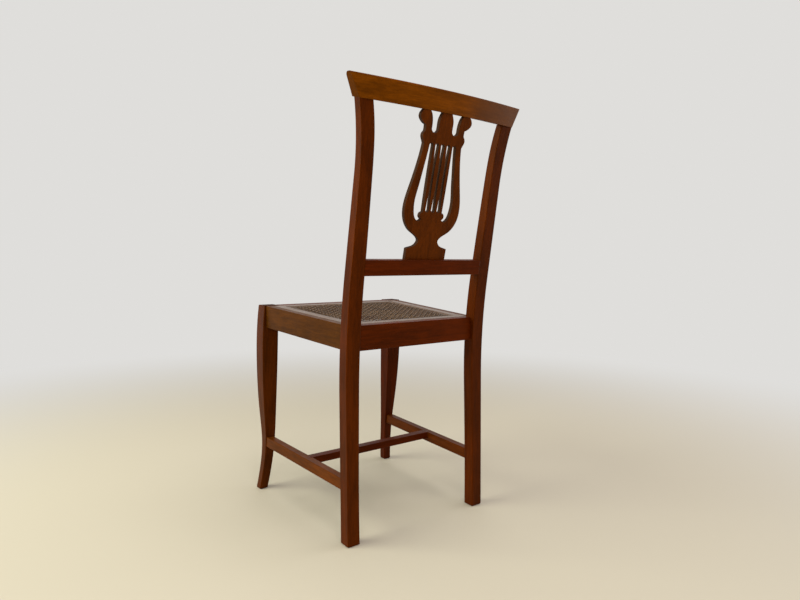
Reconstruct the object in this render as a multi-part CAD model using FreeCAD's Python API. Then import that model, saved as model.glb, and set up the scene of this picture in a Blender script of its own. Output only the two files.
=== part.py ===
import FreeCAD, Part
import math
import os

Vec = FreeCAD.Vector

# A caned side chair with a lyre splat, in millimetres.
# While it is built, Y = 0 is the back of the rear legs at the bend above the seat, the chair
# faces -Y and X = 0 is its middle. The finished chair is moved so that its origin lies on the
# floor under the middle of its outline.

# Rear legs: one bent piece from the floor to the crest rail
rear_outer_x = 185.5          # outer face, from the middle of the chair
rear_foot_width = 29.0
rear_seat_width = 32.0
rear_waist_width = 29.0
rear_top_width = 30.8
rear_foot_depth = 27.0
rear_bend_depth = 28.0
rear_top_depth = 19.0
rear_foot_back = 5.2          # back of the foot, behind Y = 0
rear_bend_back = -6.7         # corner where the two straight runs of the back edge would meet
rear_bend_height = 422.0
rear_bend_radius = 1300.0
rear_shoulder_width = 30.4
post_height = 866.0           # back of the seam between the legs and the crest rail
post_lean = 58.5              # back of the leg at that seam
post_spare = 8.0              # the seam rises to the front, so the leg is sawn this much longer
flare_start = 735.0           # where the legs start to curve outwards
flare_out = 14.2              # how far they have curved out at the crest rail
shoulder_share = 0.65         # place of the shoulder width, as a share of the flare's height

# Front legs: sabre shaped, wide at the knee, thin at the ankle, toe kicked forward
front_knee_height = 300.0
front_ankle_height = 118.0
front_shin_height = 200.0
front_toe_height = 50.0
front_foot_outer = 200.6
front_toe_outer = 195.0
front_ankle_outer = 192.2
front_shin_outer = 198.6
front_knee_outer = 204.5
front_top_outer = 200.8
front_foot_width = 20.8
front_toe_width = 21.9
front_ankle_width = 23.6
front_shin_width = 31.1
front_knee_width = 38.0
front_top_width = 36.5
front_foot_y = -397.0         # front face of each part of the leg
front_toe_y = -388.7
front_ankle_y = -381.8
front_shin_y = -381.8
front_knee_y = -381.9
front_top_y = -377.2
front_foot_depth = 20.4
front_toe_depth = 20.1
front_ankle_depth = 22.9
front_shin_depth = 30.0
front_knee_depth = 35.9
front_top_depth = 34.0
front_leg_proud = 0.8         # top of the front leg above the seat plane at its back face


foot_chamfer = 2.5
leg_edge_radius = 1.6

# Seat rails, tilted down to the back
seat_height = 442.7           # top of the rails at Y = 0
seat_tilt = 2.68              # degrees
rail_height = 51.5
back_rail_thickness = 18.0
front_rail_thickness = 18.0
side_rail_thickness = 16.0
back_rail_inset = 11.1        # back face of the back rail, in front of Y = 0
front_rail_inset = 15.4       # behind the front face of the front legs
side_rail_front_x = 196.6     # outer face of the side rails at the front legs
side_rail_rear_x = 175.3      # and at the rear legs
rail_edge_radius = 1.0

# Rail tenons
tenon_thickness = 8.0
tenon_height = 34.0
tenon_length = 11.0
side_tenon_offset = 3.0       # towards the outside, clear of the other rail's tenon
mortise_clearance = 0.1
mortise_extra_depth = 1.0

# Lower back rail
lower_rail_top = 574.0        # top of its back face
lower_rail_height = 32.0
lower_rail_thickness = 17.0
lower_tenon_thickness = 7.0
lower_tenon_height = 22.0
lower_tenon_length = 16.0

# Crest rail
crest_height = 42.7           # up its back face
crest_thickness = 20.6        # at its foot
crest_top_thickness = 14.0
crest_bow = 17.2              # rise of the back face's arc over the width of its underside
crest_tilt = 7.6              # degrees it leans back from the seam
crest_under_rise = 2.7        # how much higher the front of its foot is than the back
crest_end_flare = 21.8        # how much further out each end reaches at the top
crest_front_round = 9.0
crest_edge_round = 1.8
post_tenon_width = 16.0
post_tenon_depth = 7.0
post_tenon_height = 17.0
post_tenon_wall = 3.0         # wood left behind the tenon

# Stretchers
stretcher_top_front = 135.5
stretcher_top_rear = 130.3
stretcher_height = 24.0
stretcher_width = 18.0
stretcher_front_x = 190.5     # outer face at the front leg
stretcher_rear_x = 178.5      # and at the rear leg
stretcher_tenon_thickness = 9.0
stretcher_tenon_height = 15.0
stretcher_tenon_length = 14.0
cross_y = -182.5              # middle of the cross stretcher
cross_width = 21.0
cross_height = 16.0
cross_tenon_thickness = 9.0
cross_tenon_height = 8.0
cross_tenon_length = 12.0
stretcher_edge_radius = 1.4

# Lyre splat, measured along the board; s runs up from the lower rail
splat_thickness = 8.5
splat_foot_back = 7.4         # back face of the splat at the lower rail's top
splat_top_back = 73.6         # back face at the crest rail's underside
splat_foot_half = 53.5
splat_foot_rise = 24.2
splat_neck_half = 26.3
splat_neck_rise = 41.0
splat_bowl_half = 72.9
splat_bowl_rise = 105.0
splat_waist_half = 49.3
splat_waist_drop = 64.6       # below the crest rail, as are the drops that follow
splat_knob_half = 55.2
splat_knob_drop = 50.2
splat_notch_half = 50.7
splat_notch_drop = 29.5        # the scroll's lower end
splat_notch_height = 12.0      # from there down to the knob
splat_scroll_half = 66.8
splat_scroll_drop = 14.4
splat_lobe_half = 58.0        # where the scroll's curve meets the crest rail
crown_tongue_half = 17.8
crown_tongue_top = 11.0
crown_lobe_inner = 35.4
crown_lobe_top = 46.0
crown_notch_drop = 42.4
string_pitch = 15.1
string_slot_end = 9.8         # width of a slot at its two ends
string_slot_middle = 5.5
string_slot_swell = 25.7      # furthest an outer slot reaches out from the string beside it
string_slot_foot = 18.8       # how far it reaches below the other slots
string_bottom = 100.5
string_drop = 61.5            # top of the slots, below the crest rail
splat_tenon_thickness = 4.0
splat_tenon_length = 8.0
splat_foot_tenon_half = 46.0
splat_crown_tenon_half = 8.0

# Drop-in seat
seat_gap = 1.2                # between the seat frame and the rails round it
seat_frame_thickness = 20.0
seat_frame_width = 34.0
cane_land_width = 8.0         # wood under the cane's edge, inside the groove
cane_land_drop = 1.4          # land below the frame's top, filled by the cane
cane_groove_width = 5.0
cane_groove_depth = 7.0
cane_thickness = 1.4
cane_flange = 1.0             # edge of the cane turned down into the groove
cane_flange_depth = 5.0
cane_hole = 9.6
cane_pitch = 15.6
cane_margin = 10.0            # cane without holes along its edge
spline_height = 5.8
seat_tenon_thickness = 7.0
seat_tenon_length = 18.0
seat_tenon_width = 20.0
seat_rest = 0.3               # play under the seat frame
corner_round = 1.0

# What carries the seat frame
batten_width = 13.0
batten_height = 17.0
block_leg = 56.0              # length of a corner block along each rail
block_height = 26.0
block_nib = 8.0               # width of a block's two blunt tips
block_play = 0.3              # between a corner block's ends and the legs
screw_radius = 1.9
screw_head_radius = 3.6
screw_head_height = 2.2
screw_bite = 11.0             # how far a screw reaches into a rail
screw_clearance = 0.1
batten_screw_spacing = 140.0
block_screw_reach = 22.0      # from a block's square corner to its screws

tilt = math.tan(math.radians(seat_tilt))


def seat_z(y):
    """Height of the seat plane at y."""
    return seat_height - y * tilt


def mirror_x(shape):
    return shape.mirror(Vec(0, 0, 0), Vec(1, 0, 0))


def smooth(points):
    """An edge through the given points."""
    curve = Part.BSplineCurve()
    curve.interpolate(points)
    return curve.toShape()


def line(a, b):
    return Part.LineSegment(a, b).toShape()


def arc(a, middle, b):
    return Part.Arc(a, middle, b).toShape()


def face_of(edges):
    return Part.Face(Part.Wire(edges))


def polygon(points):
    return Part.Face(Part.makePolygon(points + points[:1]))


def bent_line(start, corner, end, radius):
    """A straight run, a tangent arc and another straight run."""
    before = (start - corner).normalize()
    after = (end - corner).normalize()
    half = before.getAngle(after) / 2
    reach = radius / math.tan(half)
    a = corner + before * reach
    b = corner + after * reach
    inward = (before + after).normalize()
    middle = corner + inward * (radius / math.sin(half) - radius)
    return [line(start, a), arc(a, middle, b), line(b, end)]


def rising_prism(corners, low, high):
    """An upright prism over plan points, between two heights measured from the seat plane."""
    base = polygon([Vec(x, y, seat_z(y) + low) for x, y in corners])
    return base.extrude(Vec(0, 0, high - low))


def box(x0, x1, y0, y1, z0, z1):
    return Part.makeBox(x1 - x0, y1 - y0, z1 - z0, Vec(x0, y0, z0))


def long_edges(shape, share):
    """Edges that run for more than this share of the shape's length."""
    length = share * shape.BoundBox.DiagonalLength
    return [e for e in shape.Edges if e.BoundBox.DiagonalLength > length]


def rounded(shape, edges, radius):
    return shape.makeFillet(radius, edges)


def largest(shape):
    return max(shape.Solids, key=lambda s: s.Volume)


def chamfer_foot(leg):
    """Plane a slope off each of the foot's four edges."""
    sole = [f for f in leg.Faces if f.BoundBox.ZMax < 0.01][0].BoundBox
    over = 1.0
    size = foot_chamfer + over
    for sign, edge in ((-1, sole.XMin), (1, sole.XMax)):
        slope = polygon([Vec(edge - sign * foot_chamfer, sole.YMin - size, 0),
                         Vec(edge + sign * over, sole.YMin - size, 0),
                         Vec(edge + sign * over, sole.YMin - size, size)])
        leg = leg.cut(slope.extrude(Vec(0, sole.YLength + 2 * size, 0)))
    for sign, edge in ((-1, sole.YMin), (1, sole.YMax)):
        slope = polygon([Vec(sole.XMin - size, edge - sign * foot_chamfer, 0),
                         Vec(sole.XMin - size, edge + sign * over, 0),
                         Vec(sole.XMin - size, edge + sign * over, size)])
        leg = leg.cut(slope.extrude(Vec(sole.XLength + 2 * size, 0, 0)))
    return largest(leg)


def rake():
    """Run of the raked posts' back face for each millimetre of height."""
    return (post_lean - rear_bend_back) / (post_height - rear_bend_height)


def rear_leg_blank():
    """The leg sawn to its side outline and to its front outline, without joints."""
    top = post_height + post_spare
    front_rake = rake() + (rear_bend_depth - rear_top_depth) / (post_height - rear_bend_height)
    back_top = post_lean + rake() * post_spare
    front_top = post_lean - rear_top_depth + front_rake * post_spare

    def side(y, z):
        return Vec(0, y, z)
    back = bent_line(side(rear_foot_back, 0), side(rear_bend_back, rear_bend_height),
                     side(back_top, top), rear_bend_radius)
    front = bent_line(side(rear_foot_back - rear_foot_depth, 0),
                      side(rear_bend_back - rear_bend_depth, rear_bend_height),
                      side(front_top, top), rear_bend_radius)
    ends = [line(side(rear_foot_back, 0), side(rear_foot_back - rear_foot_depth, 0)),
            line(side(back_top, top), side(front_top, top))]
    side_face = face_of(Part.__sortEdges__(back + front + ends))
    side_solid = side_face.extrude(Vec(2 * rear_outer_x, 0, 0))

    def plan(x, z):
        return Vec(x, -rear_bend_radius / 2, z)

    def flared(z):
        """Outer face of the leg above the start of its flare, a circular arc."""
        return rear_outer_x + radius - math.sqrt(radius ** 2 - (z - flare_start) ** 2)
    rise = post_height - flare_start
    radius = (rise ** 2 + flare_out ** 2) / (2 * flare_out)
    shoulder = flare_start + shoulder_share * rise
    outer = [line(plan(rear_outer_x, 0), plan(rear_outer_x, flare_start)),
             arc(plan(rear_outer_x, flare_start), plan(flared(shoulder), shoulder),
                 plan(flared(top), top))]
    inner_points = [plan(rear_outer_x - rear_foot_width, 0),
                    plan(rear_outer_x - rear_seat_width, rear_bend_height),
                    plan(rear_outer_x - rear_waist_width, flare_start),
                    plan(flared(shoulder) - rear_shoulder_width, shoulder),
                    plan(flared(top) - rear_top_width, top)]
    ends = [line(plan(rear_outer_x, 0), inner_points[0]),
            line(plan(flared(top), top), inner_points[-1])]
    front_face = face_of(Part.__sortEdges__(outer + [smooth(inner_points)] + ends))
    front_solid = front_face.extrude(Vec(0, rear_bend_radius, 0))
    leg = largest(side_solid.common(front_solid))
    leg = rounded(leg, long_edges(leg, 0.045), leg_edge_radius)
    return chamfer_foot(leg)


def front_leg_top():
    """Height of the front leg's flat top."""
    return seat_z(front_top_y + front_top_depth) + front_leg_proud


def front_leg_blank():
    heights = [0, front_toe_height, front_ankle_height, front_shin_height, front_knee_height,
               front_leg_top()]
    outers = [front_foot_outer, front_toe_outer, front_ankle_outer, front_shin_outer,
              front_knee_outer, front_top_outer]
    widths = [front_foot_width, front_toe_width, front_ankle_width, front_shin_width,
              front_knee_width, front_top_width]
    fronts = [front_foot_y, front_toe_y, front_ankle_y, front_shin_y, front_knee_y, front_top_y]
    depths = [front_foot_depth, front_toe_depth, front_ankle_depth, front_shin_depth,
              front_knee_depth, front_top_depth]

    def sawn(lows, sizes, to_point, along):
        """A solid between two curved edges, extruded across the leg."""
        near = [to_point(low, z) for low, z in zip(lows, heights)]
        far = [to_point(low + size, z) for low, size, z in zip(lows, sizes, heights)]
        edges = [smooth(near), line(near[-1], far[-1]), smooth(far), line(near[0], far[0])]
        return face_of(Part.__sortEdges__(edges)).extrude(along)

    reach = 2 * front_knee_outer
    side_solid = sawn(fronts, depths, lambda y, z: Vec(0, y, z), Vec(reach, 0, 0))
    inners = [outer - width for outer, width in zip(outers, widths)]
    front_solid = sawn(inners, widths, lambda x, z: Vec(x, 2 * front_foot_y, z),
                       Vec(0, -2 * front_foot_y, 0))
    leg = largest(side_solid.common(front_solid))
    leg = rounded(leg, long_edges(leg, 0.2), leg_edge_radius)
    return chamfer_foot(leg)


def rear_leg_back(z):
    """Back face of the raked part of the rear leg, above the bend."""
    return post_lean - rake() * (post_height - z)


def side_rail_x(y, offset=0.0):
    """Plan position of the side rail's outer face, or a line that far inside it."""
    front_y = front_top_y + front_top_depth
    slope = (side_rail_front_x - side_rail_rear_x) / (front_y + rear_bend_depth)
    slant = math.sqrt(1 + slope ** 2)
    return side_rail_rear_x + slope * (y + rear_bend_depth) - offset * slant


def stretcher_x(y, offset=0.0):
    front_y = front_ankle_y + front_ankle_depth
    rear_y = rear_foot_back - rear_foot_depth
    share = (y - rear_y) / (front_y - rear_y)
    return stretcher_rear_x + (stretcher_front_x - stretcher_rear_x) * share - offset


def stretcher_top(y):
    front_y = front_ankle_y + front_ankle_depth
    rear_y = rear_foot_back - rear_foot_depth
    share = (y - rear_y) / (front_y - rear_y)
    return stretcher_top_rear + (stretcher_top_front - stretcher_top_rear) * share


def side_rail(rear_blank, front_blank):
    """The rail with its shoulders cut to the two legs, and its two tenons."""
    y0 = front_top_y
    y1 = 0.0
    corners = [(side_rail_x(y0), y0), (side_rail_x(y1), y1),
               (side_rail_x(y1, side_rail_thickness), y1),
               (side_rail_x(y0, side_rail_thickness), y0)]
    rail = rising_prism(corners, -rail_height, 0)
    rail = rounded(rail, long_edges(rail, 0.7), rail_edge_radius)
    return largest(rail.cut([rear_blank, front_blank]))


def side_tenon(grow):
    """One long tongue through both shoulders of the side rail."""
    middle = side_rail_thickness / 2 - side_tenon_offset
    low = middle - tenon_thickness / 2 - grow
    high = middle + tenon_thickness / 2 + grow
    extra = mortise_extra_depth if grow else 0.0
    y0 = front_top_y + front_top_depth - tenon_length - extra
    y1 = -rear_bend_depth + tenon_length + extra
    corners = [(side_rail_x(y0, low), y0), (side_rail_x(y1, low), y1),
               (side_rail_x(y1, high), y1), (side_rail_x(y0, high), y0)]
    margin = (rail_height - tenon_height) / 2
    return rising_prism(corners, -rail_height + margin - grow, -margin + grow)


def straight_rail(y_low, y_high, reach):
    return rising_prism([(-reach, y_low), (reach, y_low), (reach, y_high), (-reach, y_high)],
                        -rail_height, 0)


def straight_tenon(middle_y, shoulder_x, grow):
    extra = mortise_extra_depth if grow else 0.0
    reach = shoulder_x + tenon_length + extra
    half = tenon_thickness / 2 + grow
    margin = (rail_height - tenon_height) / 2
    return rising_prism([(-reach, middle_y - half), (reach, middle_y - half),
                         (reach, middle_y + half), (-reach, middle_y + half)],
                        -rail_height + margin - grow, -margin + grow)


def lower_rail_frame():
    """Foot of the lower back rail's back face, and the direction up it."""
    up = Vec(0, post_lean - rear_bend_back, post_height - rear_bend_height).normalize()
    top = Vec(0, rear_leg_back(lower_rail_top), lower_rail_top)
    return top - up * lower_rail_height, up


def raked_box(half_length, thick_low, thick_high, low, high):
    """A box raked with the legs, placed by its thickness and height on the rail's section."""
    foot, up = lower_rail_frame()
    forward = Vec(0, -up.z, up.y)
    points = []
    for t, h in ((thick_low, low), (thick_high, low), (thick_high, high), (thick_low, high)):
        points.append(foot + forward * t + up * h + Vec(-half_length, 0, 0))
    return polygon(points).extrude(Vec(2 * half_length, 0, 0))


def lower_tenon(shoulder_x, grow):
    extra = mortise_extra_depth if grow else 0.0
    middle = lower_rail_thickness / 2
    centre = lower_rail_height / 2
    return raked_box(shoulder_x + lower_tenon_length + extra,
                     middle - lower_tenon_thickness / 2 - grow,
                     middle + lower_tenon_thickness / 2 + grow,
                     centre - lower_tenon_height / 2 - grow,
                     centre + lower_tenon_height / 2 + grow)


def crest_sweep(edges):
    """A section given at the middle of the back, swept along the bowed arc and leant back."""
    half = rear_outer_x + flare_out
    radius = (half ** 2 + crest_bow ** 2) / (2 * crest_bow)
    centre = Vec(0, post_lean + crest_bow - radius, post_height)
    turn = math.degrees(math.asin((half + crest_end_flare + crest_thickness) / radius))
    section = face_of(edges)
    section.rotate(centre, Vec(0, 0, 1), -turn)
    sweep = section.revolve(centre, Vec(0, 0, 1), 2 * turn)
    sweep.rotate(Vec(0, post_lean, post_height), Vec(1, 0, 0), -crest_tilt)
    return sweep


def crest_point(forward, up):
    return Vec(0, post_lean + crest_bow - forward, post_height + up)


def crest_blank():
    """The crest rail without joints: one section all along, and slanted ends."""
    top_middle = crest_point(crest_edge_round + 1, crest_height)
    edges = bent_line(crest_point(0, 0), crest_point(0, crest_height), top_middle,
                      crest_edge_round)
    edges += bent_line(top_middle, crest_point(crest_top_thickness, crest_height),
                       crest_point(crest_thickness, crest_under_rise), crest_front_round)
    edges.append(line(crest_point(crest_thickness, crest_under_rise), crest_point(0, 0)))
    rail = crest_sweep(edges).removeSplitter().toNurbs()
    half = rear_outer_x + flare_out
    slant = crest_end_flare / crest_height
    depth = 2 * half
    for side in (-1, 1):
        def corner(out, up):
            return Vec(side * out, post_lean - depth, post_height + up)
        over = 2 * crest_height
        waste = polygon([corner(half - slant * over, -over), corner(half + slant * over, over),
                         corner(2 * half, over), corner(2 * half, -over)])
        rail = rail.cut(waste.extrude(Vec(0, 2 * depth, 0)))
    return largest(rail)


def above_seam():
    """Everything over the crest rail's underside, carried on forwards past the rail."""
    reach = 3 * crest_thickness
    rise = crest_under_rise * reach / crest_thickness
    return crest_sweep([line(crest_point(0, 0), crest_point(0, crest_height)),
                        line(crest_point(0, crest_height), crest_point(reach, crest_height)),
                        line(crest_point(reach, crest_height), crest_point(reach, rise)),
                        line(crest_point(reach, rise), crest_point(0, 0))])


def crest_hindmost():
    """Largest y of the crest rail, on its rounded top back edge."""
    turn = math.radians(crest_tilt)
    up = crest_height - crest_edge_round
    return (post_lean + (crest_bow - crest_edge_round) * math.cos(turn) + up * math.sin(turn)
            + crest_edge_round)


def post_tenon(grow):
    """Tenon on top of the rear leg, standing in the crest rail."""
    extra = mortise_extra_depth if grow else 0.0
    x = rear_outer_x + flare_out - rear_top_width / 2
    y = post_lean - post_tenon_wall - post_tenon_depth / 2
    half_x = post_tenon_width / 2 + grow
    half_y = post_tenon_depth / 2 + grow
    overlap = post_tenon_height / 2
    return box(x - half_x, x + half_x, y - half_y, y + half_y,
               post_height - overlap, post_height + post_tenon_height + extra)


def splat_place():
    """Foot of the splat's back face, the way up it and the way through it."""
    foot = Vec(0, splat_foot_back, lower_rail_top)
    head = Vec(0, splat_top_back, post_height)
    up = (head - foot).normalize()
    return foot, up, Vec(0, -up.z, up.y)


def splat_length():
    return (post_height - lower_rail_top) / splat_place()[1].z


def on_splat(x, s):
    foot, up, through = splat_place()
    return foot + up * s + Vec(x, 0, 0)


def splat_curve(points):
    return smooth([on_splat(x, s) for x, s in points])


def splat_arc(a, middle, b):
    return arc(on_splat(*a), on_splat(*middle), on_splat(*b))


def splat_line(a, b):
    return line(on_splat(*a), on_splat(*b))


def splat_outline():
    """The lyre's outer outline, one half and its mirror image."""
    top = splat_length()
    spare = 6.0
    foot = splat_foot_half
    neck = splat_neck_half
    bowl = splat_bowl_half
    waist_s = top - splat_waist_drop
    knob_s = top - splat_knob_drop
    notch_s = top - splat_notch_drop
    scroll_s = top - splat_scroll_drop
    shoulder = (foot, splat_foot_rise)
    neck_point = (neck, splat_neck_rise)
    bowl_point = (bowl, splat_bowl_rise)
    waist_point = (splat_waist_half, waist_s)
    notch_point = (splat_notch_half + 0.3, notch_s)
    notch_foot = (splat_notch_half, notch_s - splat_notch_height)
    lobe_point = (splat_lobe_half, top)
    arm = bowl_point[1], waist_s
    half = [
        splat_line((0, -spare), (foot, -spare)),
        splat_line((foot, -spare), shoulder),
        splat_curve([shoulder, (foot - 10.0, splat_foot_rise + 2.8),
                     (neck + 4.0, splat_neck_rise - 8.1), neck_point,
                     (neck + 5.6, splat_neck_rise + 7.7), (neck + 24.3, splat_neck_rise + 19.0),
                     (bowl - 4.9, splat_bowl_rise - 23.9), bowl_point,
                     (bowl - 8.1, arm[0] + (arm[1] - arm[0]) * 0.36),
                     (bowl - 17.3, arm[0] + (arm[1] - arm[0]) * 0.67), waist_point]),
        splat_curve([waist_point, (splat_waist_half + 3.4, waist_s + 7.0),
                     (splat_knob_half, knob_s),
                     (notch_foot[0] + 2.6, (knob_s + 2.0 * notch_foot[1]) / 3), notch_foot]),
        splat_curve([notch_foot, (splat_notch_half - 0.4, (notch_s + notch_foot[1]) / 2),
                     notch_point]),
        splat_curve([notch_point, (splat_notch_half + 9.6, (2.0 * notch_s + scroll_s) / 3),
                     (splat_scroll_half, scroll_s), (splat_scroll_half - 3.6, top - 5.0),
                     lobe_point]),
        splat_line(lobe_point, (splat_lobe_half, top + spare)),
        splat_line((splat_lobe_half, top + spare), (0, top + spare)),
    ]
    return half + [mirror_x(edge) for edge in half]


def outer_slot():
    """Opening between an arm of the lyre and the outer string, with the pear-shaped foot."""
    top = splat_length()
    edge = 2 * string_pitch - string_slot_end / 2
    swell = (string_slot_end - string_slot_middle) / 6
    high = top - string_drop
    low = string_bottom
    span = high - low
    head = high - string_slot_end / 2
    wide = string_slot_swell
    deep = string_slot_foot
    bump_low = low - 0.77 * deep
    return [
        splat_arc((edge, low), (edge + swell, (low + head) / 2), (edge, head)),
        splat_arc((edge, head), (edge + string_slot_end / 2, high), (edge + string_slot_end, head)),
        splat_curve([(edge + string_slot_end, head), (edge + 0.5 * wide, low + span * 0.78),
                     (edge + 0.654 * wide, low + span * 0.585),
                     (edge + 0.835 * wide, low + span * 0.36),
                     (edge + wide, low + span * 0.15), (edge + 0.932 * wide, low),
                     (edge + 0.733 * wide, low - 0.69 * deep), (edge + 0.41 * wide, low - deep),
                     (edge + 0.06 * wide, bump_low)]),
        splat_arc((edge + 0.06 * wide, bump_low), (edge + 0.256 * wide, low - 0.362 * deep),
                  (edge, low)),
    ]


def inner_slot(middle):
    """Slot between two strings, a little narrower halfway up."""
    top = splat_length()
    end = string_slot_end / 2
    waist = string_slot_middle / 2
    low = string_bottom + end
    high = top - string_drop - end
    centre = (low + high) / 2
    return [
        splat_arc((middle + end, low), (middle + waist, centre), (middle + end, high)),
        splat_arc((middle + end, high), (middle, high + end), (middle - end, high)),
        splat_arc((middle - end, high), (middle - waist, centre), (middle - end, low)),
        splat_arc((middle - end, low), (middle, low - end), (middle + end, low)),
    ]


def crown_notch():
    """Opening between the lyre's tongue and one scroll, open against the crest rail."""
    top = splat_length()
    over = 8.0
    tongue = crown_tongue_half
    lobe = crown_lobe_inner
    bottom = top - crown_notch_drop
    return [
        splat_line((crown_tongue_top, top + over), (crown_tongue_top, top)),
        splat_curve([(crown_tongue_top, top), (tongue - 3.2, top - 7.8), (tongue - 0.9, top - 14.0),
                     (tongue, top - 25.0), (tongue, bottom + 7.0)]),
        splat_arc((tongue, bottom + 7.0), ((tongue + lobe) / 2, bottom), (lobe, bottom + 7.0)),
        splat_curve([(lobe, bottom + 7.0), (lobe + 0.2, top - 24.0), (lobe + 1.4, top - 16.0),
                     (lobe + 5.2, top - 6.0), (crown_lobe_top, top)]),
        splat_line((crown_lobe_top, top), (crown_lobe_top, top + over)),
        splat_line((crown_lobe_top, top + over), (crown_tongue_top, top + over)),
    ]


def splat_blank():
    """The sawn board, longer at both ends than it will be."""
    through = splat_place()[2] * splat_thickness
    board = face_of(Part.__sortEdges__(splat_outline())).extrude(through)
    cuts = [outer_slot(), crown_notch()]
    cuts += [[mirror_x(edge) for edge in cut] for cut in cuts]
    cuts += [inner_slot(string_pitch * k) for k in (-1, 0, 1)]
    for edges in cuts:
        face = face_of(Part.__sortEdges__(edges))
        board = board.cut(face.extrude(through))
    return board


def splat_tenon(x_low, x_high, s_low, s_high, grow):
    foot, up, through = splat_place()
    t0 = (splat_thickness - splat_tenon_thickness) / 2 - grow
    t1 = (splat_thickness + splat_tenon_thickness) / 2 + grow
    points = []
    for t, s in ((t0, s_low), (t1, s_low), (t1, s_high), (t0, s_high)):
        points.append(foot + up * s + through * t + Vec(x_low - grow, 0, 0))
    return polygon(points).extrude(Vec(x_high - x_low + 2 * grow, 0, 0))


def splat_tenons(grow):
    """One wide tenon at the foot, and one on the tongue and on each scroll."""
    extra = mortise_extra_depth if grow else 0.0
    top = splat_length()
    reach = splat_tenon_length + extra
    root = 4.0
    half = splat_foot_tenon_half
    crown = splat_crown_tenon_half
    found = [splat_tenon(-half, half, -reach, root + splat_foot_rise / 4, grow),
             splat_tenon(-crown, crown, top - root, top + reach, grow)]
    for side in (-1, 1):
        middle = side * (crown_lobe_top + splat_lobe_half) / 2
        found.append(splat_tenon(middle - crown / 2, middle + crown / 2, top - root,
                                 top + reach, grow))
    return found


def side_stretcher(rear_blank, front_blank):
    y0 = front_ankle_y
    y1 = rear_foot_back
    low = [Vec(stretcher_x(y, o), y, stretcher_top(y) - stretcher_height)
           for y, o in ((y0, 0), (y1, 0), (y1, stretcher_width), (y0, stretcher_width))]
    bar = polygon(low).extrude(Vec(0, 0, stretcher_height))
    bar = rounded(bar, long_edges(bar, 0.7), stretcher_edge_radius)
    return largest(bar.cut([rear_blank, front_blank]))


def stretcher_tenon(grow):
    extra = mortise_extra_depth if grow else 0.0
    front_y = front_ankle_y + front_ankle_depth
    rear_y = rear_foot_back - rear_foot_depth
    y0 = front_y - stretcher_tenon_length - extra
    y1 = rear_y + stretcher_tenon_length + extra
    o0 = (stretcher_width - stretcher_tenon_thickness) / 2 - grow
    o1 = (stretcher_width + stretcher_tenon_thickness) / 2 + grow
    drop = (stretcher_height - stretcher_tenon_height) / 2 - grow
    top = [Vec(stretcher_x(y, o), y, stretcher_top(y) - drop)
           for y, o in ((y0, o0), (y1, o0), (y1, o1), (y0, o1))]
    return polygon(top).extrude(Vec(0, 0, -stretcher_tenon_height - 2 * grow))


def cross_bar():
    reach = stretcher_x(cross_y, stretcher_width / 2)
    top = stretcher_top(cross_y)
    bar = box(-reach, reach, cross_y - cross_width / 2, cross_y + cross_width / 2,
              top - cross_height, top)
    return rounded(bar, long_edges(bar, 0.7), stretcher_edge_radius)


def cross_tenon(grow):
    extra = mortise_extra_depth if grow else 0.0
    reach = stretcher_x(cross_y, stretcher_width) + cross_tenon_length + extra
    top = stretcher_top(cross_y) - (cross_height - cross_tenon_height) / 2
    half = cross_tenon_thickness / 2 + grow
    return box(-reach, reach, cross_y - half, cross_y + half,
               top - cross_tenon_height - grow, top + grow)


def front_rail_inner_y():
    return front_top_y + front_rail_inset + front_rail_thickness


def back_rail_inner_y():
    return -back_rail_inset - back_rail_thickness


def seat_loop(inset):
    """Plan corners of the seat frame's outline, drawn in by inset: front two, then back two."""
    y0 = front_rail_inner_y() + seat_gap + inset
    y1 = back_rail_inner_y() - seat_gap - inset
    o = side_rail_thickness + seat_gap + inset
    return [(-side_rail_x(y0, o), y0), (side_rail_x(y0, o), y0),
            (side_rail_x(y1, o), y1), (-side_rail_x(y1, o), y1)]


def ring(outer_inset, inner_inset, low, high):
    outer = rising_prism(seat_loop(outer_inset), low, high)
    return outer.cut(rising_prism(seat_loop(inner_inset), low - 1, high + 1))


def seat_members():
    """Two long members at front and back, two short ones tenoned between them."""
    width = seat_frame_width
    inner = seat_loop(width)
    wide = seat_loop(0)[1][0] + width
    y_front = inner[0][1]
    y_back = inner[2][1]
    frame = ring(0, width, -seat_frame_thickness, 0)
    land_outer = width - cane_land_width
    frame = frame.cut(rising_prism(seat_loop(land_outer), -cane_land_drop, 1))
    frame = frame.cut(ring(land_outer - cane_groove_width, land_outer,
                           -cane_land_drop - cane_groove_depth, 1))
    band = seat_z(front_top_y) + seat_frame_thickness
    deep = front_foot_y
    front = largest(frame.common(box(-wide, wide, deep, y_front, 0, band)))
    back = largest(frame.common(box(-wide, wide, y_back, 0, 0, band)))
    left = largest(frame.common(box(0, wide, y_front, y_back, 0, band)))

    def tongue(grow):
        extra = mortise_extra_depth if grow else 0.0
        middle = -seat_frame_thickness + 2.0 + seat_tenon_thickness / 2
        half = seat_tenon_thickness / 2 + grow
        y0 = y_front - seat_tenon_length - extra
        y1 = y_back + seat_tenon_length + extra
        o0 = side_rail_thickness + seat_gap + (width - seat_tenon_width) / 2 - grow
        o1 = o0 + seat_tenon_width + 2 * grow
        corners = [(side_rail_x(y0, o0), y0), (side_rail_x(y1, o0), y1),
                   (side_rail_x(y1, o1), y1), (side_rail_x(y0, o1), y0)]
        return rising_prism(corners, middle - half, middle + half)

    left = left.fuse(tongue(0)).removeSplitter()
    right = mirror_x(left)
    hole = tongue(mortise_clearance)
    front = front.cut(hole).cut(mirror_x(hole))
    back = back.cut(hole).cut(mirror_x(hole))
    return {"seat_frame_front": front, "seat_frame_back": back,
            "seat_frame_left": left, "seat_frame_right": right}


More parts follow.
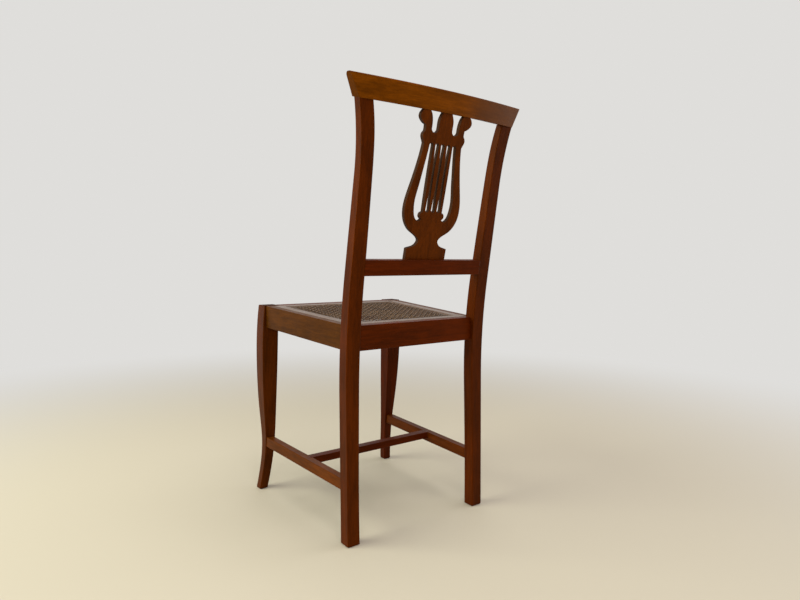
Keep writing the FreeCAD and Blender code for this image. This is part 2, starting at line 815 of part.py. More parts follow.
def cane_panel():
    """Woven cane as a holed sheet with its edge turned down into the groove."""
    inset = seat_frame_width - cane_land_width
    low = -cane_land_drop
    sheet = rising_prism(seat_loop(inset), low, low + cane_thickness)
    flange = ring(inset - cane_flange, inset, low - cane_flange_depth, low + cane_thickness)
    sheet = sheet.fuse(flange).removeSplitter()
    y0 = seat_loop(inset)[0][1] + cane_margin
    y1 = seat_loop(inset)[2][1] - cane_margin
    rows = int((y1 - y0 - cane_hole) / cane_pitch)
    start = (y0 + y1 - rows * cane_pitch) / 2
    holes = []
    for row in range(rows + 1):
        y = start + row * cane_pitch
        edge = side_rail_x(y, side_rail_thickness + seat_gap + inset) - cane_margin - cane_hole / 2
        count = int(edge / cane_pitch)
        for column in range(-count, count + 1):
            holes.append(Part.makeCylinder(cane_hole / 2, cane_pitch,
                                           Vec(column * cane_pitch, y, seat_z(y) - cane_pitch / 2)))
    return largest(sheet.cut(holes)), len(holes)


def seat_splines():
    """Four strips that press the cane's edge into the groove, mitred at the corners."""
    inner = seat_loop(seat_frame_width - cane_land_width - cane_flange)
    outer = seat_loop(seat_frame_width - cane_land_width - cane_groove_width)
    low = -cane_land_drop - cane_groove_depth + 1.0
    names = ["seat_spline_front", "seat_spline_left", "seat_spline_back", "seat_spline_right"]
    found = {}
    for k, name in enumerate(names):
        n = (k + 1) % 4
        strip = rising_prism([outer[k], outer[n], inner[n], inner[k]], low,
                             low + spline_height + 1.0)
        tops = sorted(long_edges(strip, 0.7),
                      key=lambda e: -e.CenterOfMass.z + seat_z(e.CenterOfMass.y))[:2]
        found[name] = rounded(strip, tops, corner_round)
    return found


def screw(tip, head):
    """A countersunk screw from the outside of its head to its tip."""
    along = (tip - head).normalize()
    length = (tip - head).Length
    shank = Part.makeCylinder(screw_radius, length, head, along)
    cone = Part.makeCone(screw_head_radius, screw_radius, screw_head_height, head, along)
    return shank.fuse(cone).removeSplitter()


def screw_hole(tip, head):
    """Room for a screw, open behind its head."""
    along = (tip - head).normalize()
    length = (tip - head).Length
    c = screw_clearance
    shank = Part.makeCylinder(screw_radius + c, length + c, head, along)
    cone = Part.makeCone(screw_head_radius + c, screw_radius + c, screw_head_height, head, along)
    room = Part.makeCylinder(screw_head_radius + c, 4 * screw_head_height, head, along * -1)
    return shank.fuse([cone, room])


def block_corners():
    """Square corners of the front left and rear left corner blocks, in plan."""
    y_front = front_rail_inner_y() + block_play
    y_rear = back_rail_inner_y() - block_play
    return {"front": (side_rail_x(y_front, side_rail_thickness), y_front, 1),
            "rear": (side_rail_x(y_rear, side_rail_thickness), y_rear, -1)}


def block_low():
    return -seat_frame_thickness - seat_rest - block_height


def corner_block(x, y, away):
    """A triangular block in the angle between two rails."""
    y_far = y + away * block_leg
    x_far = side_rail_x(y_far, side_rail_thickness)
    nib = block_nib
    corners = [(x, y), (x_far, y_far), (x_far - nib, y_far), (x - block_leg, y + away * nib),
               (x - block_leg, y)]
    if away < 0:
        corners.reverse()
    block = rising_prism(corners, block_low(), block_low() + block_height)
    low = seat_z(0) + block_low()
    if away > 0:
        leg_x = front_top_outer - max(front_top_width, front_knee_width)
        leg_y = front_top_y + front_top_depth
        return block.cut(box(leg_x - block_play, rear_outer_x + block_leg, front_top_y,
                             leg_y + 2 * block_play, 0, post_height))
    leg_x = rear_outer_x - rear_seat_width
    leg_y = rear_leg_back(low) - rear_bend_depth - block_play
    return block.cut(box(leg_x - block_play, rear_outer_x + block_leg, leg_y,
                         rear_bend_depth, 0, post_height))


def block_screws(x, y, away):
    """Two screws of a block: one into the side rail, one into the cross rail."""
    level = block_low() + block_height / 2
    y_side = y + away * block_screw_reach * 1.5
    z_side = seat_z(y_side) + level
    x_face = side_rail_x(y_side, side_rail_thickness)
    x_cross = x - block_screw_reach * 1.5
    z_cross = seat_z(y) + level
    deep = block_screw_reach * 0.75
    first = (Vec(x_face + screw_bite, y_side, z_side), Vec(x_face - deep, y_side, z_side))
    second = (Vec(x_cross, y - away * screw_bite, z_cross), Vec(x_cross, y + away * deep, z_cross))
    return [first, second]


def battens():
    """Strips on the inner faces of the rails, between the corner blocks, and their screws."""
    top = -seat_frame_thickness - seat_rest
    low = top - batten_height
    play = 1.0
    corners = block_corners()
    y0 = corners["front"][1] + block_leg + play
    y1 = corners["rear"][1] - block_leg - play
    t = side_rail_thickness
    side = rising_prism([(side_rail_x(y0, t), y0), (side_rail_x(y1, t), y1),
                         (side_rail_x(y1, t + batten_width), y1),
                         (side_rail_x(y0, t + batten_width), y0)], low, top)
    found = {"left_batten": side, "right_batten": mirror_x(side)}
    holes = {"left": [], "right": [], "front": [], "back": []}
    middle_y = (y0 + y1) / 2
    for y in (middle_y - batten_screw_spacing / 2, middle_y + batten_screw_spacing / 2):
        z = seat_z(y) + (top + low) / 2
        face = side_rail_x(y, t)
        pair = (Vec(face + screw_bite, y, z), Vec(face - batten_width, y, z))
        holes["left"].append(pair)
        holes["right"].append(tuple(Vec(-p.x, p.y, p.z) for p in pair))
    for name, face_y, out, x in (("front", front_rail_inner_y(), 1, corners["front"][0]),
                                 ("back", back_rail_inner_y(), -1, corners["rear"][0])):
        reach = x - block_leg - play
        a = face_y
        b = face_y + out * batten_width
        strip = rising_prism([(-reach, min(a, b)), (reach, min(a, b)),
                              (reach, max(a, b)), (-reach, max(a, b))], low, top)
        found[name + "_batten"] = strip
        for x_screw in (-batten_screw_spacing / 2, batten_screw_spacing / 2):
            z = seat_z((a + b) / 2) + (top + low) / 2
            holes[name].append((Vec(x_screw, a - out * screw_bite, z), Vec(x_screw, b, z)))
    return found, holes


def cut_all(shape, tools):
    for tool in tools:
        shape = shape.cut(tool)
    return shape


def build():
    rear_blank = rear_leg_blank()
    front_blank = front_leg_blank()
    grow = mortise_clearance
    parts = {}

    left_rail = side_rail(rear_blank, front_blank)
    back_rail = straight_rail(back_rail_inner_y(), -back_rail_inset, rear_outer_x)
    back_rail = rounded(back_rail, long_edges(back_rail, 0.7), rail_edge_radius)
    side_blanks = [left_rail, mirror_x(left_rail)]
    back_rail = largest(back_rail.cut([rear_blank, mirror_x(rear_blank)] + side_blanks))
    front_rail = straight_rail(front_top_y + front_rail_inset, front_rail_inner_y(),
                               front_top_outer - front_top_width / 2)
    front_rail = rounded(front_rail, long_edges(front_rail, 0.7), rail_edge_radius)
    front_rail = largest(front_rail.cut([front_blank, mirror_x(front_blank)]))

    rear_inner = rear_outer_x - rear_seat_width
    front_inner = front_top_outer - front_top_width
    back_middle = -back_rail_inset - back_rail_thickness / 2
    front_middle = front_top_y + front_rail_inset + front_rail_thickness / 2
    left_rail = left_rail.fuse(side_tenon(0)).removeSplitter()
    back_rail = back_rail.fuse(straight_tenon(back_middle, rear_inner, 0)).removeSplitter()
    front_rail = front_rail.fuse(straight_tenon(front_middle, front_inner, 0)).removeSplitter()

    lower_rail = raked_box(rear_outer_x, 0, lower_rail_thickness, 0, lower_rail_height)
    lower_rail = rounded(lower_rail, long_edges(lower_rail, 0.7), rail_edge_radius)
    lower_rail = largest(lower_rail.cut([rear_blank, mirror_x(rear_blank)]))
    lower_shoulder = rear_outer_x - rear_seat_width
    lower_rail = lower_rail.fuse(lower_tenon(lower_shoulder, 0)).removeSplitter()

    crest = crest_blank()
    splat = splat_blank()
    solid_rail = raked_box(rear_outer_x, -lower_rail_thickness, 2 * lower_rail_thickness,
                           -lower_rail_height, lower_rail_height)
    splat = largest(splat.cut([solid_rail, above_seam()]))
    splat = splat.fuse(splat_tenons(0)).removeSplitter()
    lower_rail = cut_all(lower_rail, splat_tenons(grow)[:1])
    crest = cut_all(crest, splat_tenons(grow)[1:])
    crest = cut_all(crest, [post_tenon(grow), mirror_x(post_tenon(grow))])

    stretcher = side_stretcher(rear_blank, front_blank)
    stretcher = stretcher.fuse(stretcher_tenon(0)).removeSplitter()
    cross = largest(cross_bar().cut([stretcher, mirror_x(stretcher)]))
    cross = cross.fuse(cross_tenon(0)).removeSplitter()
    stretcher = stretcher.cut(cross_tenon(grow))

    rear_leg = largest(rear_blank.cut(above_seam()))
    rear_leg = rear_leg.fuse(post_tenon(0)).removeSplitter()
    rear_leg = cut_all(rear_leg, [side_tenon(grow), straight_tenon(back_middle, rear_inner, grow),
                                  lower_tenon(lower_shoulder, grow), stretcher_tenon(grow)])
    front_leg = cut_all(front_blank, [side_tenon(grow),
                                      straight_tenon(front_middle, front_inner, grow),
                                      stretcher_tenon(grow)])

    strips, batten_holes = battens()
    block_pairs = {}
    blocks = {}
    for place, (x, y, away) in block_corners().items():
        block_pairs[place] = block_screws(x, y, away)
        block = corner_block(x, y, away)
        blocks[place] = cut_all(block, [screw_hole(*pair) for pair in block_pairs[place]])

    side_pairs = [block_pairs["front"][0], block_pairs["rear"][0]] + batten_holes["left"]
    left_rail = cut_all(left_rail, [screw_hole(*pair) for pair in side_pairs])
    for place, rail_name in (("front", "front"), ("rear", "back")):
        hole = screw_hole(*block_pairs[place][1])
        holes = [hole, mirror_x(hole)] + [screw_hole(*p) for p in batten_holes[rail_name]]
        if place == "front":
            front_rail = cut_all(front_rail, holes)
        else:
            back_rail = cut_all(back_rail, holes)
    for name in list(strips):
        pairs = batten_holes[name.split("_")[0]]
        strips[name] = cut_all(strips[name], [screw_hole(*pair) for pair in pairs])

    parts["rear_leg_left"] = rear_leg
    parts["front_leg_left"] = front_leg
    parts["side_seat_rail_left"] = left_rail
    parts["side_stretcher_left"] = stretcher
    parts["corner_block_front_left"] = blocks["front"]
    parts["corner_block_rear_left"] = blocks["rear"]
    for name in list(parts):
        parts[name.replace("_left", "_right")] = mirror_x(parts[name])
    parts["back_seat_rail"] = back_rail
    parts["front_seat_rail"] = front_rail
    parts["lower_back_rail"] = lower_rail
    parts["crest_rail"] = crest
    parts["lyre_splat"] = splat
    parts["cross_stretcher"] = cross
    parts.update(strips)
    parts.update(seat_members())
    parts["cane_panel"], gaps = cane_panel()
    parts.update(seat_splines())
    block_screw_solids = []
    for pairs in block_pairs.values():
        for pair in pairs:
            block_screw_solids += [screw(*pair), mirror_x(screw(*pair))]
    parts["corner_block_screws"] = Part.makeCompound(block_screw_solids)
    parts["batten_screws"] = Part.makeCompound(
        [screw(*pair) for pairs in batten_holes.values() for pair in pairs])
    print("cane gaps:", gaps)
    return parts


def main():
    os.makedirs("parts", exist_ok=True)
    parts = build()
    middle = Vec(0, -(front_foot_y + crest_hindmost()) / 2, 0)
    for name, shape in sorted(parts.items()):
        placed = shape.copy()
        placed.translate(middle)
        placed.exportStep("parts/" + name + ".step")
        print(name, len(placed.Solids), placed.isValid(), round(placed.Volume))


main()
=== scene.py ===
import math
import random

import bpy
from mathutils import Matrix, Vector


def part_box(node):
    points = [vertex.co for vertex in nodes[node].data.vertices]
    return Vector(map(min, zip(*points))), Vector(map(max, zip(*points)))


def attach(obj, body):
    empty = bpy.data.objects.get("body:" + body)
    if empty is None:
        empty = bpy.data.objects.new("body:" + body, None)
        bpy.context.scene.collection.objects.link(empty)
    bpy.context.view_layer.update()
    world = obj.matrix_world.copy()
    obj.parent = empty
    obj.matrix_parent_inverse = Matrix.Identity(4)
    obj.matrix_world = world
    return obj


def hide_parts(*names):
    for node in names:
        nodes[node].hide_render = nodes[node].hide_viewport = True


# A dining chair with a lyre back: stained, varnished beech and a lift-out caned seat.
# Everything is in metres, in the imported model's frame: +Z up, and the chair faces -Y.

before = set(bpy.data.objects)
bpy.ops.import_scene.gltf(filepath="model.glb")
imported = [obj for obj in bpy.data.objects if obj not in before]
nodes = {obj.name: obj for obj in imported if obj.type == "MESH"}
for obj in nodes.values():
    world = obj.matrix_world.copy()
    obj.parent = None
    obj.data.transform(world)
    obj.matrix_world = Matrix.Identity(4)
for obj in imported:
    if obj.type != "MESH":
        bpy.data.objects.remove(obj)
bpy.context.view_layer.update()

# The camera that took the photograph
camera_place = Vector((0.8103, 1.1423, 0.5882))
camera_azimuth = 142.632
camera_elevation = 4.448
camera_roll = 0.7076
camera_lens = 27.12
camera_sensor = 36.0

# Studio
floor_reach = 9.0
floor_colour = (0.60, 0.54, 0.46)
backdrop_colour = (0.74, 0.73, 0.71)
fade_start = 0.7
fade_end = 2.4
ambient = (1.0, 0.97, 0.90)
ambient_strength = 0.16
light_target = (0.0, 0.0, 0.45)
# Each lamp: its name, place, width and height, watts and colour
lamps = (
    ("window", (2.6, -0.9, 1.6), (2.2, 2.0), 88.0, (0.96, 1.0, 0.78)),
    ("ceiling", (-0.2, 0.4, 3.0), (3.0, 3.0), 60.0, (1.0, 0.97, 0.88)),
    ("behind_camera", (1.6, 2.7, 1.5), (2.0, 1.8), 40.0, (1.0, 0.93, 0.84)),
    ("right_side", (-2.4, 0.6, 1.3), (1.6, 1.6), 12.0, (1.0, 1.0, 1.0)),
)

# Materials
bevel_samples = 6
soft_radius = 0.0009          # rounding that the light sees on every wooden edge
wear_radius = 0.0016          # width of the rubbed band on an edge
wood_coat_roughness = 0.22
bright_steel = (0.42, 0.40, 0.37)
dull_steel = (0.20, 0.16, 0.12)
cane_light = (0.240, 0.128, 0.058)
cane_dark = (0.155, 0.077, 0.032)
cane_fibre = (0.075, 0.036, 0.016)
cane_knot = (0.055, 0.024, 0.010)
# Painted shade, laid into the weave's hollows and down each strand's flanks
cane_painted_shade = (0.016, 0.007, 0.0035)

# Cane: one mesh of strands, in the seat's own plane
cane_pitch = 0.0156           # between neighbouring holes of the weave
strand_width = 0.0024
strand_thickness = 0.0005
pair_gap = 0.0034             # between the two strands of a pair, middle to middle
diagonal_width = 0.0027
steps_per_pitch = 4
weave_depth = 0.0016          # from the crowns of the weave down to its hollows
cane_clear = 0.0002           # kept inside the flat sheet's own box
cane_margin = 0.0012          # the strands end this far inside the sheet's edge
cane_wander = 0.00018         # how far a strand strays from its place
edge_strip = 0.02             # of the sheet, read to find its size at the front and back
weave_seed = 5
# A strand's cross-section: share of its width to either side, share of its thickness down
strand_profile = ((-0.5, 0.7), (-0.3, 0.15), (0.0, 0.0), (0.3, 0.15), (0.5, 0.7), (0.0, 1.0))
edge_shade = 0.95             # how much painted shade darkens a strand down its flanks

X, Y, Z = 0, 1, 2

# Each piece of the chair's frame: the way its grain runs, and its stain's middle colour
frame_wood = {
    "rear_leg_left": (Z, (0.071, 0.0118, 0.0002)),
    "rear_leg_right": (Z, (0.064, 0.0104, 0.0002)),
    "front_leg_left": (Z, (0.064, 0.0125, 0.0005)),
    "front_leg_right": (Z, (0.060, 0.0072, 0.0004)),
    "side_seat_rail_left": (Y, (0.0640, 0.0190, 0.0014)),
    "side_seat_rail_right": (Y, (0.0650, 0.0150, 0.0010)),
    "side_stretcher_left": (Y, (0.0940, 0.0215, 0.0007)),
    "side_stretcher_right": (Y, (0.0760, 0.0150, 0.0006)),
    "cross_stretcher": (X, (0.0680, 0.0088, 0.0004)),
    "back_seat_rail": (X, (0.0715, 0.0098, 0.0003)),
    "front_seat_rail": (X, (0.0700, 0.0090, 0.0004)),
    "lower_back_rail": (X, (0.0700, 0.0092, 0.0003)),
    # The crest is about twice as light as the rest: its own colour and painted light for the
    # light its back face catches
    "crest_rail": (X, (0.1480, 0.0380, 0.0006)),
    "lyre_splat": (Z, (0.0840, 0.0170, 0.0005)),
}
light_grain = 1.42            # times the middle colour
dark_grain = 0.60
sawn_edge_colour = (0.030, 0.015, 0.009)
# Painted reflection on the crest: a duller, greyer colour towards its -X end
crest_painted_reflection = (0.080, 0.030, 0.012)
painted_reflection_reach = 0.09             # over which the painted reflection fades in
crest_painted_reflection_from = -0.03

# The drop-in seat's wood, and the raw wood under it
seat_wood = (("seat_frame_front", X), ("seat_frame_back", X),
             ("seat_frame_left", Y), ("seat_frame_right", Y),
             ("seat_spline_front", X), ("seat_spline_back", X),
             ("seat_spline_left", Y), ("seat_spline_right", Y))
# Paler, greyer colours than the frame's stain: the seat wood's own colour and a painted sheen
# on its top
seat_light_and_sheen = (0.130, 0.064, 0.033)
seat_dark_and_sheen = (0.072, 0.032, 0.015)
seat_wear = (0.34, 0.20, 0.12)
raw_wood = (("corner_block_front_left", X), ("corner_block_front_right", X),
            ("corner_block_rear_left", X), ("corner_block_rear_right", X),
            ("front_batten", X), ("back_batten", X), ("left_batten", Y), ("right_batten", Y))
raw_light = (0.50, 0.335, 0.19)
raw_dark = (0.36, 0.22, 0.115)
raw_wear = (0.62, 0.46, 0.30)


def set_colour(socket, colour):
    socket.default_value = (colour[0], colour[1], colour[2], 1.0)


class Shader:
    """A material's nodes, made and joined in short calls."""

    def __init__(self, name):
        self.material = bpy.data.materials.new(name)
        self.material.use_nodes = True
        self.tree = self.material.node_tree
        self.tree.nodes.clear()
        self.out = self.add("ShaderNodeOutputMaterial")

    def add(self, kind, **values):
        node = self.tree.nodes.new(kind)
        for key, value in values.items():
            setattr(node, key, value)
        return node

    def link(self, a, b):
        self.tree.links.new(a, b)

    def feed(self, socket, value):
        """Joins an output, or sets a plain value."""
        if isinstance(value, bpy.types.NodeSocket):
            self.link(value, socket)
        elif isinstance(value, (tuple, list)) and len(value) == 3 and socket.type == "RGBA":
            set_colour(socket, value)
        else:
            socket.default_value = value

    def math(self, operation, a, b=0.0):
        node = self.add("ShaderNodeMath", operation=operation)
        self.feed(node.inputs[0], a)
        self.feed(node.inputs[1], b)
        return node.outputs[0]

    def place(self, scale=(1.0, 1.0, 1.0), offset=(0, 0, 0)):
        """The object's own coordinates, stretched and shifted."""
        coordinates = self.add("ShaderNodeTexCoord")
        mapping = self.add("ShaderNodeMapping", vector_type="POINT")
        self.link(coordinates.outputs["Object"], mapping.inputs["Vector"])
        mapping.inputs["Scale"].default_value = scale
        mapping.inputs["Location"].default_value = offset
        return mapping.outputs["Vector"]

    def noise(self, vector, scale, detail=3.0, rough=0.55, twist=0.0):
        node = self.add("ShaderNodeTexNoise")
        self.link(vector, node.inputs["Vector"])
        node.inputs["Scale"].default_value = scale
        node.inputs["Detail"].default_value = detail
        node.inputs["Roughness"].default_value = rough
        node.inputs["Distortion"].default_value = twist
        return node.outputs["Fac"]

    def spread(self, value, low, high, to_low=0.0, to_high=1.0):
        """Stretches low to high over to_low to to_high, with soft ends."""
        node = self.add("ShaderNodeMapRange", interpolation_type="SMOOTHSTEP")
        self.feed(node.inputs["Value"], value)
        node.inputs["From Min"].default_value = low
        node.inputs["From Max"].default_value = high
        node.inputs["To Min"].default_value = to_low
        node.inputs["To Max"].default_value = to_high
        return node.outputs["Result"]

    def mix(self, amount, a, b):
        node = self.add("ShaderNodeMix", data_type="RGBA", blend_type="MIX")
        self.feed(node.inputs["Factor"], amount)
        self.feed(node.inputs["A"], a)
        self.feed(node.inputs["B"], b)
        return node.outputs["Result"]

    def bevel(self, radius):
        """The surface's normal, as if its sharp edges were rounded."""
        node = self.add("ShaderNodeBevel", samples=bevel_samples)
        node.inputs["Radius"].default_value = radius
        return node.outputs["Normal"]

    def axes(self, source):
        """The object's own coordinates or normal, as three values."""
        coordinates = self.add("ShaderNodeTexCoord")
        parts = self.add("ShaderNodeSeparateXYZ")
        self.link(coordinates.outputs[source], parts.inputs[0])
        return parts.outputs

    def bump(self, height, strength, distance, normal=None):
        node = self.add("ShaderNodeBump")
        node.inputs["Strength"].default_value = strength
        node.inputs["Distance"].default_value = distance
        self.link(height, node.inputs["Height"])
        if normal is not None:
            self.link(normal, node.inputs["Normal"])
        return node.outputs["Normal"]

    def edges(self, radius, low, high):
        """How much a surface point lies on a sharp edge: 0 on the flats, 1 on the arris."""
        geometry = self.add("ShaderNodeNewGeometry")
        dot = self.add("ShaderNodeVectorMath", operation="DOT_PRODUCT")
        self.link(self.bevel(radius), dot.inputs[0])
        self.link(geometry.outputs["Normal"], dot.inputs[1])
        return self.spread(dot.outputs["Value"], high, low)

    def finish(self, shader):
        self.link(shader.outputs[0], self.out.inputs["Surface"])
        return self.material


def shade(colour, level):
    return tuple(level * c for c in colour)


def grain_axes(axis, along, across):
    """Mapping scale for grain that runs along one axis: coarse along it, fine across it."""
    return tuple(along if k == axis else across for k in range(3))


def wood(name, axis, light, dark, seed, roughness=0.40, coat=0.010, shine=0.075,
         gloss_tint=(1.0, 0.52, 0.14), wear=(0.16, 0.045, 0.010), wear_amount=0.35,
         end_dark=0.75, sawn_sides=False, painted_reflection_from=None):
    """Stained and varnished close-grained wood, with its grain along one axis."""
    s = Shader(name)
    offset = (seed * 1.37, seed * 2.11, seed * 0.73)
    lines = s.place(grain_axes(axis, 1.0, 12.0), offset)
    short_lines = s.place(grain_axes(axis, 5.0, 120.0), offset)
    cloud = s.place(offset=offset)

    # Grain, from the broad figure down to the pores
    broad = s.noise(lines, 4.0, 3.0, 0.5, 0.6)
    streaks = s.noise(lines, 24.0, 5.0, 0.6, 0.3)
    fine = s.noise(lines, 95.0, 3.0, 0.6)
    blotch = s.noise(cloud, 14.0, 3.0, 0.5)
    pores = s.noise(short_lines, 14.0, 2.0, 0.5)

    broad_share, streak_share, blotch_share = 0.42, 0.34, 0.24
    fine_strength, fleck_strength = 0.26, 0.38
    tone = s.math("MULTIPLY", s.spread(broad, 0.34, 0.66), broad_share)
    tone = s.math("ADD", tone, s.math("MULTIPLY", s.spread(streaks, 0.36, 0.64), streak_share))
    tone = s.math("ADD", tone, s.math("MULTIPLY", s.spread(blotch, 0.32, 0.68), blotch_share))
    colour = s.mix(tone, dark, light)
    fine_dark = s.math("MULTIPLY", s.spread(fine, 0.52, 0.66), fine_strength)
    colour = s.mix(fine_dark, colour, (dark[0] * 0.45, dark[1] * 0.4, dark[2] * 0.4))
    flecks = s.math("MULTIPLY", s.spread(pores, 0.66, 0.74), fleck_strength)
    colour = s.mix(flecks, colour, (dark[0] * 0.25, dark[1] * 0.22, dark[2] * 0.22))

    # End grain drinks more stain and shines less
    normal = s.axes("Normal")
    end_grain = s.spread(s.math("ABSOLUTE", normal[axis]), 0.62, 0.86)
    colour = s.mix(s.math("MULTIPLY", end_grain, end_dark), colour, shade(dark, 0.35))

    if sawn_sides:
        # The fretsawn edges of a board that faces Y drink more stain as well
        facing = s.math("ABSOLUTE", normal[Y])
        colour = s.mix(s.spread(facing, 0.75, 0.35, 0.0, 0.85), colour, sawn_edge_colour)
    if painted_reflection_from is not None:
        # Painted reflection: the colour turns duller and greyer towards the -X end
        place = s.axes("Object")[X]
        colour = s.mix(s.spread(place, painted_reflection_from, painted_reflection_from - painted_reflection_reach, 0.0, 0.62), colour,
                       crest_painted_reflection)

    # Edges are rubbed in patches
    rubbed = s.noise(cloud, 38.0, 4.0, 0.65)
    arris = s.edges(wear_radius, 0.80, 0.97)
    worn = s.math("MULTIPLY", arris, s.spread(rubbed, 0.42, 0.66, 0.10, 1.0))
    colour = s.mix(s.math("MULTIPLY", worn, wear_amount), colour, wear)

    shader = s.add("ShaderNodeBsdfPrincipled")
    s.link(colour, shader.inputs["Base Color"])
    smear = s.noise(cloud, 22.0, 4.0, 0.6)
    gloss = s.spread(smear, 0.25, 0.75, roughness - 0.06, roughness + 0.08)
    for rough_part in (flecks, end_grain):
        gloss = s.math("ADD", gloss, s.math("MULTIPLY", rough_part, 0.25))
    s.link(gloss, shader.inputs["Roughness"])
    shader.inputs["Specular IOR Level"].default_value = shine
    set_colour(shader.inputs["Specular Tint"], gloss_tint)
    shader.inputs["Coat Weight"].default_value = coat
    shader.inputs["Coat Roughness"].default_value = wood_coat_roughness

    height = s.math("ADD", s.math("MULTIPLY", streaks, 0.5), s.math("MULTIPLY", fine, 0.35))
    height = s.math("SUBTRACT", height, s.math("MULTIPLY", flecks, 0.9))
    bumped = s.bump(height, 0.16, 0.0004, s.bevel(soft_radius))
    s.link(bumped, shader.inputs["Normal"])
    s.link(bumped, shader.inputs["Coat Normal"])
    return s.finish(shader)


def dress(node, material):
    mesh = nodes[node].data
    mesh.materials.clear()
    mesh.materials.append(material)


def dress_wood():
    """Every wooden piece gets a material of its own, with its own seed."""
    for k, (name, (axis, stain)) in enumerate(sorted(frame_wood.items())):
        crest = name == "crest_rail"
        dress(name, wood("stained_" + name, axis, shade(stain, light_grain),
                         shade(stain, dark_grain), seed=3.1 + 1.7 * k,
                         sawn_sides=name == "lyre_splat",
                         painted_reflection_from=crest_painted_reflection_from if crest else None,
                         end_dark=0.55 if crest else 0.75))
    for k, (name, axis) in enumerate(seat_wood):
        dress(name, wood("seat_wood_" + name, axis, seat_light_and_sheen, seat_dark_and_sheen, seed=20.0 + 2.3 * k,
                         roughness=0.36, coat=0.16, shine=0.34, gloss_tint=(1.0, 0.86, 0.72),
                         wear=seat_wear, wear_amount=0.5))
    for k, (name, axis) in enumerate(raw_wood):
        dress(name, wood("raw_" + name, axis, raw_light, raw_dark, seed=40.0 + 1.9 * k,
                         roughness=0.68, coat=0.0, wear=raw_wear, wear_amount=0.3))


def screw_metal():
    s = Shader("screw_steel")
    spots = s.noise(s.place(), 900.0, 3.0, 0.6)
    dull = s.noise(s.place(offset=(3, 1, 2)), 260.0, 4.0, 0.6)
    shader = s.add("ShaderNodeBsdfPrincipled")
    s.link(s.mix(s.spread(dull, 0.35, 0.65), bright_steel, dull_steel),
           shader.inputs["Base Color"])
    shader.inputs["Metallic"].default_value = 0.9
    s.link(s.spread(spots, 0.3, 0.7, 0.34, 0.55), shader.inputs["Roughness"])
    s.link(s.bump(spots, 0.2, 0.0002), shader.inputs["Normal"])
    return s.finish(shader)


def dress_screws():
    steel = screw_metal()
    dress("corner_block_screws", steel)
    dress("batten_screws", steel)


def cane_material():
    s = Shader("cane")
    along = s.place()
    broad = s.noise(along, 30.0, 3.0, 0.5)
    fibre = s.noise(along, 900.0, 3.0, 0.6)
    knots = s.noise(along, 160.0, 2.0, 0.5)
    colour = s.mix(s.spread(broad, 0.3, 0.7), cane_light, cane_dark)
    colour = s.mix(s.math("MULTIPLY", s.spread(fibre, 0.5, 0.7), 0.35), colour, cane_fibre)
    colour = s.mix(s.math("MULTIPLY", s.spread(knots, 0.62, 0.72), 0.5), colour, cane_knot)
    painted_shade = s.add("ShaderNodeAttribute", attribute_name="painted_shade")
    # Painted shade: the deeper a point of a strand lies, and the further down its flank, the
    # darker
    colour = s.mix(s.spread(painted_shade.outputs["Fac"], 0.15, 0.75, 0.0, 0.95), colour, cane_painted_shade)
    shader = s.add("ShaderNodeBsdfPrincipled")
    s.link(colour, shader.inputs["Base Color"])
    s.link(s.spread(fibre, 0.3, 0.7, 0.38, 0.52), shader.inputs["Roughness"])
    shader.inputs["Specular IOR Level"].default_value = 0.16
    shader.inputs["Coat Weight"].default_value = 0.03
    shader.inputs["Coat Roughness"].default_value = 0.25
    s.link(s.bump(fibre, 0.3, 0.0002), shader.inputs["Normal"])
    return s.finish(shader)


class Weave:
    """The cane's flat strands, laid in the plane of the CAD sheet's top."""

    def __init__(self):
        points = [v.co.copy() for v in nodes["cane_panel"].data.vertices]
        low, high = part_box("cane_panel")
        self.front, self.back = low[1], high[1]
        front_edge = [p for p in points if p.y < self.front + edge_strip]
        back_edge = [p for p in points if p.y > self.back - edge_strip]
        a = max(front_edge, key=lambda p: p.z)
        b = max(back_edge, key=lambda p: p.z)
        self.slope = (b.z - a.z) / (b.y - a.y)
        self.level = a.z - self.slope * a.y
        self.front_half = max(p.x for p in front_edge)
        self.back_half = max(p.x for p in back_edge)
        self.middle = (self.front + self.back) / 2
        self.verts = []
        self.faces = []
        self.painted_shade_levels = []

    def half(self, y):
        share = (y - self.front) / (self.back - self.front)
        return self.front_half + (self.back_half - self.front_half) * share

    def inside(self, x, y):
        if not self.front + cane_margin <= y <= self.back - cane_margin:
            return False
        return abs(x) <= self.half(y) - cane_margin

    def clipped(self, points):
        """The longest run of points that lies inside the sheet."""
        runs = [[]]
        for p in points:
            if self.inside(*p):
                runs[-1].append(p)
            elif runs[-1]:
                runs.append([])
        return max(runs, key=len)

    def strand(self, points, width, lift):
        """A crowned ribbon through plan points; lift gives each one's depth under the top."""
        points = self.clipped(points)
        if len(points) < 3:
            return
        rows = []
        for k, (x, y) in enumerate(points):
            ahead = points[min(k + 1, len(points) - 1)]
            behind = points[max(k - 1, 0)]
            dx, dy = ahead[0] - behind[0], ahead[1] - behind[1]
            length = math.hypot(dx, dy)
            side = (-dy / length, dx / length)
            depth = lift(x, y)
            rows.append([])
            for across, drop in strand_profile:
                px = x + side[0] * across * width
                py = y + side[1] * across * width
                pz = self.level + self.slope * py - (depth + drop * strand_thickness)
                rows[-1].append(len(self.verts))
                self.verts.append((px, py, pz))
                # How much painted shade this point gets: more the deeper it lies and the
                # further down the flank
                self.painted_shade_levels.append(min(1.0, depth / weave_depth + edge_shade * drop))
        sides = len(strand_profile)
        for a, b in zip(rows, rows[1:]):
            for k in range(sides):
                n = (k + 1) % sides
                self.faces.append((a[k], a[n], b[n], b[k]))
        self.faces.append(tuple(reversed(rows[0])))
        self.faces.append(tuple(rows[-1]))

    def wave(self, along, phase):
        """0 to 1 and back once in each pitch."""
        return 0.5 + 0.5 * math.sin(along / cane_pitch * math.pi * 2 + phase)


